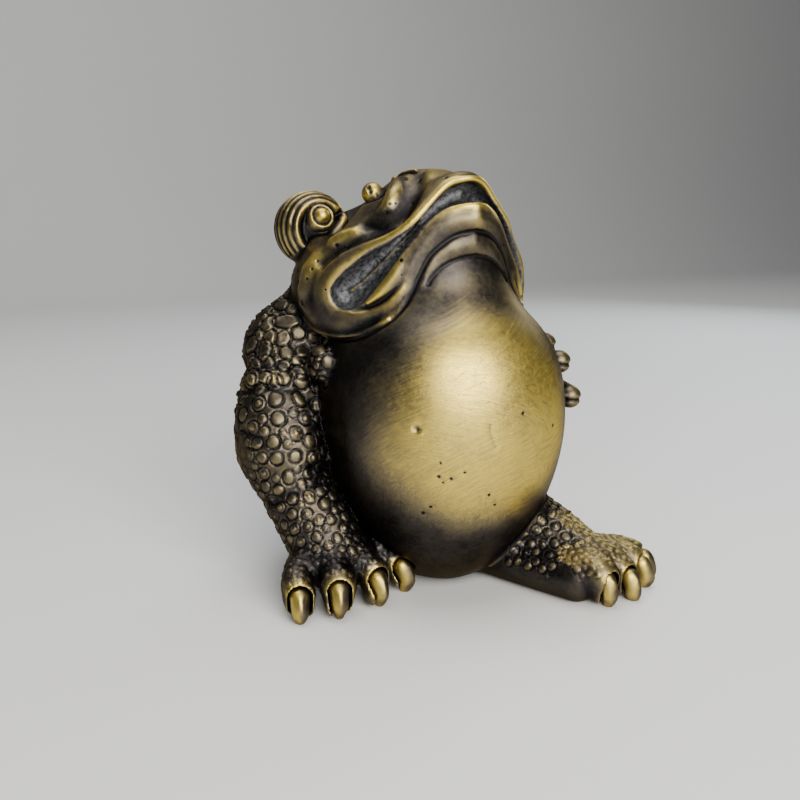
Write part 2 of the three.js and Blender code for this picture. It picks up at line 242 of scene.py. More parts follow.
# Lines and pads that lie on the face: rows, how far they are lifted off it, what a line does,
# and how widely the corner is rounded
creases = {
    "underLip": (withRadius([(0, -9, 85.8), (4.8, -7.6, 85), (7.6, -6.2, 83.1), (10.2, -5, 80.4),
        (12.5, -4.2, 75.9), (15.1, -3.7, 70.5), (18.2, -3.3, 67.1), (20.6, -1.9, 65), (23.1, 1, 62.7),
        (24.9, 7, 61), (26.2, 13, 60.6), (28, 18.6, 61.8), (29.2, 21.8, 64), (30.6, 20.8, 66.9)], 0.5),
        0.08, carve, 0.5),
    "chinFold": (withRadius([(0, -8.8, 80.2), (4.1, -7.3, 79.8), (6.8, -6.4, 78.6), (9.3, -5.8, 76.6),
        (11, -5.6, 74.3)], 0.38), 0.08, carve, 0.5),
    "lipTip": ([(24.4, 5.6, 68.4, 1), (22.2, 3.3, 69, 1.2), (20.7, 1.7, 69.8, 1.15),
        (19.2, 0.2, 70.9, 1), (17.8, -1, 72.3, 0.8), (16.5, -1.9, 73.6, 0.5),
        (15.5, -2.5, 74.9, 0.3)], 0.25, carve, 0.4),
    "valley": ([(5.4, 8.4, 99.3, 1.6), (8.6, 4.4, 96.4, 2.4), (10.4, 2.8, 94.1, 2.6),
        (12.8, 1.4, 91.2, 2.6), (15.5, 1.8, 88.2, 2.6), (17.6, 4.2, 86.6, 2.2),
        (19, 8, 87, 1.6)], 1.0, carve, 2.2),
    "padGroove": (withRadius([(17.4, 4.2, 86), (19.4, 5.6, 85), (21.8, 8, 83.6), (24.3, 10.4, 82),
        (26.4, 12.8, 80.4), (27.6, 14.4, 78.6)], 1.2), 0.4, carve, 1.4),
    "notch": (withRadius([(28.4, 13.4, 77.8), (27.4, 12.2, 79.4), (26.2, 11, 80.7)], 1),
        0.3, carve, 0.6),
    "slot": (withRadius([(6.2, 16.2, 98.6), (5.2, 13, 99.2), (4.8, 10.6, 99.3)], 0.7),
        0.15, carve, 0.6),
}
pads = {
    "underEye": ([(24.6, 14.8, 83.4, 1.9), (23, 12.9, 84.6, 2.1), (20.9, 10.4, 85.7, 2),
        (18.9, 7.6, 86.4, 1.2)], -0.8, 1),
    "crescent": ([(8.6, 13, 97.4, 1.2), (10.4, 10.4, 96.2, 2), (12.4, 7.6, 94.2, 2.4),
        (14, 6.8, 92, 2.2), (15.8, 8.2, 90.6, 1.1)], -0.6, 0.7),
    "brow": ([(9.6, 12.4, 97.2, 0.5), (10.2, 8, 96, 0.5), (11, 5, 94.4, 0.4)], 0, 0.8),
    "noseEdge": ([(7, 18, 98.4, 0.5), (5.4, 15.6, 99.6, 0.5), (4.2, 12, 100, 0.4)], 0.1, 0.8),
    "cheek": ([(28.5, 18, 79, 2.2), (29.4, 18.6, 76.4, 3), (29.8, 19.4, 72.4, 2.8)], -1.5, 1.6),
    "jowl": ([(19.4, -2, 66.4, 0.4), (22.4, 1.6, 63.8, 0.5), (24.6, 7, 62, 0.5),
        (26.6, 12.4, 61.6, 0.5), (28.6, 17.4, 62.6, 0.5), (29.8, 21, 65.2, 0.4)], 0, 0.7),
    "mouthCrease": (withRadius([(8.9, 0.4, 88.8), (11.2, 0.6, 86), (13.8, 2.6, 82.8), (15.5, 4.2, 80.3),
        (18.1, 7, 76.6), (19.7, 8.7, 74.4), (22, 10.7, 72.2)], 0.35), 0.05, 0.5),
}
hollows = {  # before the eye, and round the bead of the nostril
    "eye": [(12, 28, 95, 5), (17, 25.5, 92.6, 6), (21.5, 22.5, 90.6, 6), (26, 20, 88.6, 5)],
    "bead": [(13.6, 13.5, 96.6, 2.6), (12.4, 19, 97, 4.4), (11.6, 24, 97.4, 5)],
}
nostril = {
    "place": (9.6, 23.2, 94.7),
    "radius": 2.75,
    "pits": [(0.69, -0.49, 0.53), (0.67, -0.73, 0.14)],  # which way they face
    "pitRadius": 0.6, "reach": 1.2, "pitReach": 0.3,
}


# What the mouth's rods do to the face, in this order, and how widely the corner is rounded
mouthWork = (("lowerLip", join, 2.2), ("chin", join, 1.8), ("upperLip", join, 3),
             ("pocket", carve, 0.8), ("depths", carve, 0.8))
hollowReach, mouthSteps, rimReach, crestReach = 3, 9, 1.3, 1.2


# Head, torso and lips, with the mouth open
def faceForm(m):
    d = join(torsoDistance(m), headDistance(m), headReach["neck"])
    for rows in hollows.values():
        work(d, m, rod(rows), carve, hollowReach)
    for name, how, reach in mouthWork:
        work(d, m, rod(mouth[name], mouthSteps), how, reach)
    return d


# Newton steps along the form's slope until each row lies its lift above the surface
def seated(rows, form, lift, passes=5, step=0.2):
    rows = np.array(rows, np.float32)
    spots = rows[:, :3].copy()
    for _ in range(passes):
        steps = step * np.eye(3, dtype=np.float32)
        slope = np.stack([form(spots + ahead) - form(spots - ahead) for ahead in steps], axis=1)
        slope[rows[:, 0] == 0, 0] = 0
        slope /= np.linalg.norm(slope, axis=1, keepdims=True) + 1e-6
        spots -= slope * (form(spots) - lift)[:, None]
    rows[:, :3] = spots
    return rows


# The lines and pads of the face, seated on it
def faceMarks():
    marks = []
    for rows, lift, reach in pads.values():
        marks.append((rod(seated(rows, faceForm, lift)), join, reach))
    for rows, lift, how, reach in creases.values():
        marks.append((rod(seated(rows, faceForm, lift)), how, reach))
    marks.append((rod(mouth["rim"]), join, rimReach))
    marks.append((rod(mouth["crest"]), join, crestReach))
    bead, radius = np.array(nostril["place"]), nostril["radius"]
    marks.append((egg(bead, [radius] * 3), join, nostril["reach"]))
    for way in nostril["pits"]:
        pit = egg(bead + radius * np.array(way), [nostril["pitRadius"]] * 3)
        marks.append((pit, carve, nostril["pitReach"]))
    return marks


# Eye: a dome under a fold of lids. Seen along the line of sight the lids are rings one outside
# another about a point under the pupil, and the lower lid is a shallow bow below it.
eye = {
    "centre": (22.2, 32.9, 86),
    "radius": 9.3,
    "gaze": (0.10, -0.93, 0.36),
    "toCorner": (-0.80, 0.14, 0.58),
    "over": (0.59, 0.35, 0.73),
    "reach": 0.8,  # how widely it runs into the head
    "lidCentre": (-1.1, -3.0),
    "firstLid": 7.2, "lidStep": 2.0, "lids": 6, "lidHeight": 0.8,
    "lidEdge": 0.18,  # share of a lid's step that its steep side takes
    "lowerLid": (-4.9, 1.5),  # how low its bow hangs, and its rise at the corners
    "lowerLidHeight": (0.55, 0.9, 0.8),  # its height, how far under the bow it is, its width
    "cornerReach": 9,
    "cornerSlot": (4, 3.6, 3.2, 1.5),  # along, half its length, how low, its radius
    "socketDepth": 2.3,
    "domeSlope": 0.85,  # keeps the distance short where the lids are steep
    "ballRadius": 3.7, "ballForward": 5.7, "ballToCorner": 0.5, "ballReach": 0.3,
    "ring": (2.9, 0.3, 0.3),  # radius, width and height of the ring on the ball
    "gutter": (0.76 * 2.9, 0.28, 0.45),  # and of the gutter inside it
    "pupil": (1.75, 0.75),  # its radius and height
}
eyeCentre, gaze, toCorner, overLid = [
    np.float32(eye[name]) for name in ("centre", "gaze", "toCorner", "over")]
ballOffset = gaze * eye["ballForward"] + toCorner * eye["ballToCorner"]


# Height of a round ridge: a bell curve of the distance from its middle
def bell(distance, middle, width):
    return np.exp(-((distance - middle) / width) ** 2)


# The lids are a saw over the distance from their own centre, on a dome that the socket is cut
# from, and the ball in it has a ring, a gutter and the dome of the pupil
def eyeDistance(p):
    local = p - eyeCentre
    far = np.sqrt(np.einsum("ij,ij->i", local, local)) + 1e-6
    sideways = np.stack([local @ toCorner, local @ overLid])
    turn = np.arctan2(np.hypot(*sideways), local @ gaze) * eye["radius"]
    along, over = sideways / (np.hypot(*sideways) + 1e-6) * turn
    ring = np.hypot(along - eye["lidCentre"][0], over - eye["lidCentre"][1])
    lid = (ring - eye["firstLid"]) / eye["lidStep"]
    low, rise = eye["lowerLid"]
    bow = over - low - rise * np.clip(np.abs(along) / eye["cornerReach"], 0, 1.2) ** 2
    middle, half, drop, radius = eye["cornerSlot"]
    corner = np.hypot(np.maximum(np.abs(along - middle) - half, 0), over + drop) - radius
    opening = np.maximum(np.minimum(ring - eye["firstLid"], corner), -bow)
    saw = (1 - lid % 1) * np.clip((lid % 1) / eye["lidEdge"], 0, 1)
    ripple = eye["lidHeight"] * (saw - 0.5) * np.clip((eye["lids"] - lid) / 2, 0, 1)
    ripple = ripple * smoothStep(bow, -0.8, 0.6)
    height, under, width = eye["lowerLidHeight"]
    lower = height * bell(bow, -under, width) * smoothStep(np.abs(along), 11, 7)
    surface = eye["radius"] + np.where(lid > 0, ripple, 0) + lower
    surface -= eye["socketDepth"] * smoothStep(opening, 0.15, -0.55)
    dome = eye["domeSlope"] * (far - surface)
    ball = local - ballOffset
    off = np.sqrt(np.einsum("ij,ij->i", ball, ball)) + 1e-6
    side = np.sqrt(np.maximum(off**2 - (ball @ gaze) ** 2, 0))
    rim, gutter = [high * bell(side, *place) for *place, high in (eye["ring"], eye["gutter"])]
    radius, height = eye["pupil"]
    pupil = height * np.sqrt(np.clip(1 - (side / radius) ** 2, 0, 1))
    ball = off - eye["ballRadius"] - np.where(ball @ gaze > 0, rim - gutter + pupil, 0)
    return join(dome, ball, eye["ballReach"])


# Limbs run from the shoulder or hip outwards
rightArm = {
    "shoulder": [(-20, 32, 63, 11), (-29.2, 32.8, 55.4, 11.2)],
    "upperArm": [(-31.5, 28, 49, 10.4), (-35, 24.5, 42.5, 10.9), (-36.8, 21, 35, 11.2),
                 (-36.2, 19.6, 31.6, 10.8)],
    "forearm": [(-36.3, 17.4, 27, 8.9), (-34.7, 12.6, 20.5, 8.3), (-32.5, 8.2, 14.5, 8.8),
                (-30.7, 3.5, 9, 8)],
}
leftArm = [(20, 32, 64, 11), (29, 35, 55, 10), (32, 37, 44, 8.8), (31.4, 28, 39, 8.2),
           (29.6, 18, 41, 7), (28.2, 8, 46.5, 6)]
hindLeg = [(8, 16, 14, 13), (15, 2, 12, 11.5), (19.5, -10, 10, 9.6), (23, -20, 7.2, 7.6),
           (26, -25.5, 5.6, 6.6)]
sole = [(8, 2, 7, 7), (13.5, -14, 5.6, 6), (17.8, -27, 4.8, 5.2)]
palm = [(-39.5, 2, 9.4, 3.6), (-33.5, -0.6, 10, 4), (-27, 0.6, 9.6, 3.8), (-22, 3.4, 8.6, 3.2)]
fingers = [
    [(-39, 4, 9, 3.8), (-42.2, 0.4, 8.8, 3.2), (-43.7, -3.6, 5.4, 3.9), (-43.9, -5.4, 2.8, 2.9)],
    [(-33.5, 2, 10, 4), (-34.2, -2.8, 9.8, 3.3), (-35.2, -6.6, 6.6, 4.1), (-36, -8.4, 3.4, 3.2)],
    [(-28, 3, 10, 4), (-26.4, -1.4, 9.8, 3.4), (-25.1, -5, 6.4, 3.8), (-25.5, -6.8, 3.2, 3)],
    [(-24, 6, 9, 3.6), (-19.6, 2.2, 8.8, 3), (-16.8, -1.2, 6.2, 3.2), (-16, -2.8, 3.2, 2.6)],
]
toes = [
    [(18.5, -22, 6.5, 5.2), (20.4, -28.4, 7.4, 4.6), (21, -31.9, 6.2, 4.3), (21.2, -32.7, 3.6, 3.3)],
    [(25, -22, 6, 4.6), (27.8, -28.6, 6.6, 3.7), (28.6, -31.6, 5.2, 3.7), (28.5, -32.4, 3.4, 2.9)],
    [(28, -20, 6.6, 4.6), (33.6, -25.6, 7, 3.6), (35.6, -28, 5.6, 3.5), (35.8, -28.8, 3.8, 2.7)],
    [(29, -18, 6.6, 4.6), (37.4, -22.6, 6.8, 3.3), (39.8, -24.6, 5.2, 3.3), (40.2, -25.4, 3.6, 2.6)],
]
restingFingers = [
    [(27, 13, 49, 3.5), (28, 6, 55, 3.2), (28.2, 0.5, 57, 2.9)],
    [(27, 11, 47, 3.6), (28.6, 2, 51.6, 3.2), (28.4, -5.2, 53.2, 2.9)],
    [(27.5, 9, 44, 3.6), (29.4, -1, 45.4, 3.2), (28.4, -9.6, 45, 2.9)],
]
chestNub = ((-28.2, 14.2, 54.6), (3.4, 4, 4))
# A raised seam between the leg and the belly
seam = [(17.5, -13.4, 19.2, 0.6), (14.9, -14.8, 17.6, 0.8), (13.1, -15.1, 16.1, 0.8),
        (10.8, -14.5, 13.1, 0.8), (7.9, -13.6, 10.1, 0.7), (5.6, -11.8, 7.1, 0.6),
        (4.6, -10.2, 5.2, 0.4)]
# How widely the corner round each is rounded
limbReach = {"arm": 1.2, "limb": 2.5, "sole": 2, "nub": 1.5, "digit": 1.4, "seam": 0.6, "resting": 0.8,
             "tip": 0.5, "socket": 0.5, "claw": 0.2, "keel": 1, "fold": 1.8}

claw = {
    "radius": 2.3, "length": 6.4,
    "socket": 0.75,  # width of the groove round the root
    "bow": [(0, 0.6, 1), (0.5, 1.15, 0.85), (1, 0.75, 0.3)],  # down, outwards, thickness
    "keel": 0.4, "keelForward": 0.9,  # the ridge down its front: radius, how far forward
}

# Folds of skin across the arm, seated on it
armFolds = [
    [(-42.5, 29, 50.8), (-41, 25.4, 53.2), (-38.7, 22.2, 54.2), (-36, 19.9, 54.1), (-33.5, 18.4, 53.1)],
    [(-44.8, 25.5, 47.1), (-43.1, 21.1, 48.9), (-40.8, 18.6, 49.6), (-38.1, 16.5, 49.2),
     (-35.3, 15.8, 49.1), (-33, 15.2, 47.7), (-31.1, 14.7, 45.4)],
    [(-47.5, 20.6, 38.8), (-46.2, 16.4, 38.6), (-45, 14.2, 37.6)],
    [(-44.6, 17.9, 21.2), (-43.8, 13.1, 22.5), (-42.2, 9.5, 24.5), (-39.8, 7.8, 26), (-37, 7.2, 27.2),
     (-34.1, 7.4, 27.7), (-31.1, 8.7, 27.7)],
    [(-34.2, 8.8, 30.3), (-31.6, 9.6, 30.2), (-29.4, 11, 29.8)],
]
foldRadius, foldLift = 0.9, 0.15
# The crease of a resting finger's tip: where it starts and ends, how low it lies, its radius
tipFold = {"from": -40, "to": 120, "drop": 0.15, "radius": 0.5}


# The right arm's stretches, joined
def armDistance(p):
    d = np.full(len(p), 1000, np.float32)
    for stretch in rightArm.values():
        d = join(d, toRod(p, stretch), limbReach["arm"])
    return d


def foldMarks():
    return [rod(seated(withRadius(rows, foldRadius), armDistance, foldLift)) for rows in armFolds]


# A claw grows from the last joint of a digit and hooks down towards the floor; forward moves
# its rows out to its front
def clawRows(digit, extra=0, forward=0):
    knuckle, joint, tip = [np.array(row[:3]) for row in digit[-3:]]
    outward = (tip - knuckle) * (1, 1, 0)
    outward /= np.linalg.norm(outward)
    rows = []
    for down, out, thick in claw["bow"]:
        across = out + forward * thick
        spot = joint + outward * across * claw["radius"] - np.array([0, 0, down * claw["length"]])
        rows.append((*spot, claw["keel"] if forward else thick * claw["radius"] + extra))
    return rows


# A crease curls round the tip of a resting finger, a little under its middle
def tipCrease(digit):
    tip, radius = np.array(digit[-1][:3]), digit[-1][3]
    turns = np.radians(np.linspace(tipFold["from"], tipFold["to"], 7))[:, None]
    ring = np.cos(turns) * np.array([-0.5, -0.86, 0]) + np.sin(turns) * np.array([0.86, -0.5, 0])
    return withRadius(tip + radius * (ring - np.array([0, 0, tipFold["drop"]])), tipFold["radius"])


def carveLimbs(d, p):
    def put(shape, how, name):
        work(d, p, shape, how, limbReach[name])

    for stretch in rightArm.values():
        put(rod(stretch), join, "arm")
    for limb in (leftArm, hindLeg, palm):
        put(rod(limb), join, "limb")
    put(rod(sole), join, "sole")
    put(egg(*chestNub), join, "nub")
    for digit in fingers + toes:
        put(rod(digit), join, "digit")
    put(rod(seam), join, "seam")
    for digit in restingFingers:
        put(rod(digit), join, "resting")
        put(rod(tipCrease(digit)), carve, "tip")
    for digit in fingers + toes:
        put(rod(clawRows(digit, claw["socket"])), carve, "socket")
        put(rod(clawRows(digit)), join, "claw")
        put(rod(clawRows(digit, forward=claw["keelForward"])), join, "keel")


# The whole toad, from the big forms to the claws, cut flat by the floor
def toadDistance(p, marks, folds):
    m = mirrored(p)
    d = faceForm(m)
    for shape, how, reach in marks:
        work(d, m, shape, how, reach)
    size = eye["radius"] + 1.2
    work(d, m, (eyeCentre - size, eyeCentre + size, eyeDistance), join, eye["reach"])
    carveLimbs(d, p)
    for shape in folds:
        work(d, p, shape, carve, limbReach["fold"])
    return np.maximum(d, -p[:, 2])


# Distances on the whole grid at the coarse step, then halved, with fresh ones near the skin
def sweepBlock():
    marks, folds = faceMarks(), foldMarks()
    step = carving["coarseStep"]
    low = np.array(carving["blockLow"])
    count = np.ceil((np.array(carving["blockHigh"]) - low) / step).astype(int) + 1
    axes = [low[i] + step * np.arange(count[i]) for i in range(3)]
    spots = np.stack(np.meshgrid(*axes, indexing="ij"), -1).reshape(-1, 3).astype(np.float32)
    field = toadDistance(spots, marks, folds).reshape(count)
    for _ in range(carving["fineSplits"]):
        finer = np.empty([2 * n - 1 for n in field.shape], np.float32)
        finer[::2, ::2, ::2] = field
        finer[1::2, ::2, ::2] = (field[1:] + field[:-1]) / 2
        finer[:, 1::2, ::2] = (finer[:, 2::2, ::2] + finer[:, :-2:2, ::2]) / 2
        finer[:, :, 1::2] = (finer[:, :, 2::2] + finer[:, :, :-2:2]) / 2
        field = finer
        step /= 2
    near = np.argwhere(np.abs(field) < carving["band"])
    field[tuple(near.T)] = toadDistance((low + near * step).astype(np.float32), marks, folds)
    return field, low, step


# Surface net: one vertex in each cell that the skin crosses, at the mean of the crossings of
# its edges, and a four-sided face across each crossed grid edge, turned outwards
def surfaceNet(field, low, step):
    inside = field < 0
    counts = [n - 1 for n in field.shape]
    corners = [(i, j, k) for i in (0, 1) for j in (0, 1) for k in (0, 1)]
    filled = np.zeros(counts, np.int8)
    for i, j, k in corners:
        filled += inside[i:i + counts[0], j:j + counts[1], k:k + counts[2]]
    cells = np.argwhere((filled > 0) & (filled < 8))
    index = np.full(counts, -1, np.int32)
    index[tuple(cells.T)] = np.arange(len(cells))
    total = np.zeros((len(cells), 3))
    crossings = np.zeros(len(cells))
    for corner in corners:
        for axis in range(3):
            if corner[axis]:
                continue
            other = np.array(corner)
            other[axis] = 1
            a = field[tuple((cells + corner).T)]
            b = field[tuple((cells + other).T)]
            crossed = (a < 0) != (b < 0)
            t = np.where(crossed, a / np.where(crossed, a - b, 1), 0)
            spot = np.repeat(np.array([corner], float), len(cells), axis=0)
            spot[:, axis] += t
            total += spot * crossed[:, None]
            crossings += crossed
    vertices = low + (cells + total / crossings[:, None]) * step
    faces = []
    for axis in range(3):
        u, v = [i for i in range(3) if i != axis]
        lower, upper = [slice(None)] * 3, [slice(None)] * 3
        lower[axis], upper[axis] = slice(0, -1), slice(1, None)
        edges = np.argwhere(inside[tuple(lower)] != inside[tuple(upper)])
        starts = inside[tuple(lower)][tuple(edges.T)]
        loop = []
        for du, dv in ((1, 1), (0, 1), (0, 0), (1, 0)):
            cell = edges.copy()
            cell[:, u] -= du
            cell[:, v] -= dv
            loop.append(index[tuple(cell.T)])
        quads = np.stack(loop, axis=1)
        outward = starts if axis != 1 else ~starts
        quads[~outward] = quads[~outward][:, ::-1]
        faces.append(quads)
    return vertices, np.vstack(faces)


# Vertex normals: the cross product of each face's diagonals, summed at its corners
def vertexNormals(vertices, quads):
    a, b, c, d = [vertices[quads[:, i]] for i in range(4)]
    across = np.cross(c - a, d - b)
    normals = np.zeros_like(vertices)
    for i in range(4):
        for axis in range(3):
            normals[:, axis] += np.bincount(quads[:, i], across[:, axis], len(vertices))
    return normals / (np.linalg.norm(normals, axis=1, keepdims=True) + 1e-12)


# Each pass moves every vertex to the mean of its neighbours along the faces' edges
def relaxed(vertices, quads, passes):
    starts = np.concatenate([quads[:, i] for i in range(4)])
    ends = np.concatenate([quads[:, (i + 1) % 4] for i in range(4)])
    count = np.bincount(starts, minlength=len(vertices))[:, None]
    for _ in range(passes):
        mean = [np.bincount(starts, vertices[ends, axis], len(vertices)) for axis in range(3)]
        vertices = np.stack(mean, axis=1) / count
    return vertices


# Warts: a flat button in a narrow groove, or a nipple in a ring. Their size grows with the
# height over the floor, up to the largest.
warts = {
    "atFloor": 1, "perHeight": 0.021, "largest": 2.3,
    "uneven": (0.6, 1.1),
    "crowding": 0.94,  # spacing over the sum of two radii
    "squash": 0.35,  # how far from round they may be
    "dome": 0.32,  # how far it stands up
    "groove": 0.46,  # how deep its ring is
    "nipples": 0.4,  # share that have an inner ring
}
# Scales are the shoulder's and the back's: longer, angular lumps. On the back of the head they
# thin out upwards. Pebbles roughen the wrist, the knuckles and the top of the foot.
scales = {
    "atFloor": 1.1, "perHeight": 0.008, "largest": 2,
    "uneven": (0.45, 1.4), "crowding": 0.84, "squash": 0.88,
    "dome": 0.5, "groove": 0.24, "nipples": 0,
}
napeScales = dict(scales, atFloor=3.6, perHeight=-0.034, dome=0.4, groove=0.2)
pebbles = {
    "atFloor": 0.66, "perHeight": 0, "largest": 1,
    "uneven": (0.6, 1.4), "crowding": 0.9, "squash": 0.6,
    "dome": 0.32, "groove": 0.14, "nipples": 0,
}
lumps = {"count": 90, "radius": (2, 4.5), "height": 0.45}


# Where warts grow: near the arms above the wrist, on the back and the top of the leg, and off
# head, digits and floor. The numbers are distances, heights and depths in hundredths.
def wartZone(v, n):
    y, z = v[:, 1], v[:, 2]
    arms = np.minimum(toRod(v, leftArm), armDistance(v))
    leg = np.minimum(toRod(v, hindLeg), toRod(v, sole))
    onArms = (arms < 0.5) & (z > 10)
    onShin = (y > -16) | ((n[:, 0] < -0.2) & (y > -24.5))
    onLeg = (leg < 0.8) & onShin & (n[:, 2] > -0.3) & (y < 6) & (z > 6)
    onBack = (torsoDistance(v) < 0.3) & (y > 17) & (z > 3)
    clear = (headDistance(v) > 0.9) & (z > 1.5)
    for digit in fingers + toes + restingFingers:
        clear &= toRod(v, digit) > 0.5
    return (onArms | onLeg | onBack | (eggDistance(v, *chestNub) < 0.3)) & clear


# The back of the head, clear of the eyes
def napeZone(v):
    onNape = (headDistance(v) < 0.9) & (v[:, 1] > 33) & (v[:, 2] > 59) & (v[:, 2] < 90)
    return onNape & (np.linalg.norm(mirrored(v) - eyeCentre, axis=1) > eye["radius"] + 1.5)


# The tops of the hand and the foot, clear of the claws
def pebbleZone(v, n):
    hand = np.minimum(toRod(v, palm), armDistance(v))
    foot = toRod(v, hindLeg)
    for finger, toe in zip(fingers, toes):
        hand = np.minimum(hand, toRod(v, finger[:3]))
        foot = np.minimum(foot, toRod(v, toe[:3]))
    onHand = (hand < 0.8) & (v[:, 2] < 14.5) & (v[:, 2] > 6) & (n[:, 2] > -0.2)
    zone = onHand | ((foot < 0.8) & (v[:, 1] < -13) & (n[:, 2] > 0.35))
    for digit in fingers + toes:
        zone &= toRod(v, clawRows(digit)) > 1.6
    return zone


# Dart throwing, the largest first: take a free vertex, then free no other within the spacing
def throwWarts(v, zone, kind, rng):
    order = rng.permutation(np.flatnonzero(zone))[::2]
    factors = rng.uniform(*kind["uneven"], len(order))
    order, factors = order[np.argsort(-factors)], np.sort(factors)[::-1]
    spots = v[order]
    sizes = np.minimum(kind["atFloor"] + kind["perHeight"] * spots[:, 2], kind["largest"]) * factors
    free = np.ones(len(order), bool)
    picks = []
    while free.any():
        i = int(np.argmax(free))
        away = np.linalg.norm(spots - spots[i], axis=1)
        free &= away > kind["crowding"] * (sizes[i] + sizes)
        free[i] = False
        picks.append(i)
    return spots[picks], sizes[picks]


# Height of each vertex over the ground, and how much of a crown it is. From its middle out, in
# shares of its radius: a bud in a moat, a flat-topped dome, a ring, deeper on one side, a low lip
def wartRelief(v, zone, kind, rng):
    height = np.zeros(len(v), np.float32)
    top = np.zeros(len(v), np.float32)
    centres, sizes = throwWarts(v, zone, kind, rng)
    order = np.argsort(v[:, 2])
    levels = v[order, 2]
    leans = rng.uniform(0, 2 * np.pi, len(sizes))
    longWays = rng.normal(size=(len(sizes), 3)).astype(np.float32)
    squashes = rng.uniform(0, kind["squash"], len(sizes))
    glosses = rng.uniform(0.1, 1, len(sizes))
    nipples = (rng.uniform(size=len(sizes)) < kind["nipples"]) & (sizes > 1.2)
    for centre, size, lean, longWay, squash, gloss, nipple in zip(
            centres, sizes, leans, longWays, squashes, glosses, nipples):
        first, last = np.searchsorted(levels, [centre[2] - 1.5 * size, centre[2] + 1.5 * size])
        near = order[first:last]
        local = v[near] - centre
        longWay /= np.linalg.norm(longWay)
        s = np.einsum("ij,ij->i", local, local) - squash * (local @ longWay) ** 2
        s = np.sqrt(np.maximum(s, 0)) / size
        near, local, s = [rows[s < 1.4] for rows in (near, local, s)]
        side = (local[:, 0] * math.cos(lean) + local[:, 2] * math.sin(lean)) / size
        dome = np.sqrt(np.clip(1 - (s / 0.8) ** 5, 0, 1))
        ring = bell(s, 0.88, 0.11) * (0.75 + 0.5 * np.clip(side, -1, 1))
        inner = nipple * (0.6 * bell(s, 0, 0.3) - 0.9 * bell(s, 0.48, 0.14))
        raised = dome + 0.3 * bell(s, 1.1, 0.14) + inner
        height[near] += min(size / 1.5, 1.1) * (kind["dome"] * raised - kind["groove"] * ring)
        top[near] = np.maximum(top[near], gloss * dome)
    return height, top


# Dents and casting pits are shallow bowls: place, radius, depth. The scratch is rows, radius,
# depth, and the pits are radius, depth, places.
dents = {
    "dent": ((-20.7, -17, 44.2), 1.1, 0.6),
    "dentLip": ((-20, -17.7, 43.3), 0.8, -0.3),
    "score": ([(-6.6, -24.5, 45), (-6.3, -24.6, 42.6), (-5.2, -24.8, 39.6)], 0.3, 0.16),
    "facePits": (0.4, 0.5, [(-24.8, 12.8, 82.7), (-23.4, 10.1, 82), (-25.3, 12.5, 80.5),
        (-29.7, 16.4, 77.1), (-30.7, 17.2, 74.8), (-29.7, 24.3, 76.1), (-28.3, 16.2, 79),
        (-30.4, 22.9, 73.6), (-12.8, 8.3, 95.6), (-14.7, 5.5, 92.1), (-15.4, 6.1, 90.2),
        (-10.2, 2.9, 92.1), (-7.8, 10.3, 98.2), (-30.2, 28, 67.6), (-31.2, 19.2, 68.7), (-6, 6.6, 97.3),
        (-4.9, -3.1, 97.9)]),
    "bellyPits": (0.38, 0.35, [(-16.4, -20.1, 36.7), (-16.5, -19.5, 33.4), (-15.6, -19.8, 31.9),
        (-14.2, -20.8, 32.9), (-11.6, -22.4, 34.3), (-5.4, -23, 28.4), (-3.4, -22.5, 25.6),
        (-17, -17, 25.8), (-18, -15.4, 24.1), (2, -24.9, 46.7), (12.7, -22.5, 42.2)]),
}


# A bell curve of the distance, twice as steep as its radius says
def bowlRelief(v, centre, radius, depth):
    local = v - np.float32(centre)
    s = np.einsum("ij,ij->i", local, local) / radius**2
    return -depth * np.exp(-2 * s)


# How bright the metal is worn, from 0 for patina to 1. Some entries are painted light and shade
# instead: the painted reflection on the neck, the painted glints in the mouth's crease and the claws'
# painted lit and shaded sides
shine = {
    "turn": -16, "halfTurn": 71,  # the belly's patch: degrees round the belly
    "middle": 45.5, "halfHeight": 29.6,
    "leftLower": -0.006,  # how much sooner it fades at the left, for each hundredth lower
    "square": 2.5,  # the power that makes its corners
    "patch": 0.86, "face": 0.16, "throat": 0.27, "ground": 0.06, "limbFront": 0.2,
    "claw": (-0.25, 0.58),  # painted shade on its right side, painted light on its left side
    "arch": 0.35,  # the hood over a claw
    "footTop": 0.5, "seam": 0.22, "fingerEnd": 0.1, "wartTop": 0.26,
    "otherTop": 0.6,  # the crowns of scales and pebbles, next to those of warts
    "wartEdge": 0.4,
    "bodySwell": 0.25,  # next to the head's
    "lid": 0.26, "ball": 0.34, "pupil": 0.5,
    "mouthCrease": 0.42, "glintBeads": 4.2,  # painted glints, dots of painted highlight along the mouth's crease: how bright, how close together
    # Which way the faces look that are made brighter: on limbs and the hoods over claws, and on claws
    # the side that gets painted light
    "sides": {"limb": (-0.45, -0.85, 0.25), "claw": (-0.78, -0.5, 0.38), "hood": (-0.3, -0.5, 0.81)},
    "lines": (("rim", 0.3), ("crest", 0.36)),
    "spots": [((22.6, 12.2, 85), 4, 0.45), ((13.4, 7.4, 93), 2.8, 0.5), ((9.6, 22, 95), 3.4, 0.34),
              ((29.4, 17.6, 77.6), 6, 0.38), ((28.2, 15, 77.6), 3.5, 0.26), ((5.5, 0, 97), 6, 0.34),
              ((0, 8, 100), 5, 0.36), ((10.6, 1.6, 92.6), 3, -0.12), ((4.5, -6, 91.4), 4, 0.26),
              ((24, 7, 66), 6, 0.12), ((31, 23, 70), 6, -0.12)],
    # A painted reflection: a pale streak on the neck beside the jowl
    "paintedSheen": ([(14.8, -2.9, 74.7, 0.2), (18.1, -1.2, 68.9, 0.7), (19.7, -1.2, 66.6, 0.8)], 0.9, 0.4),
}


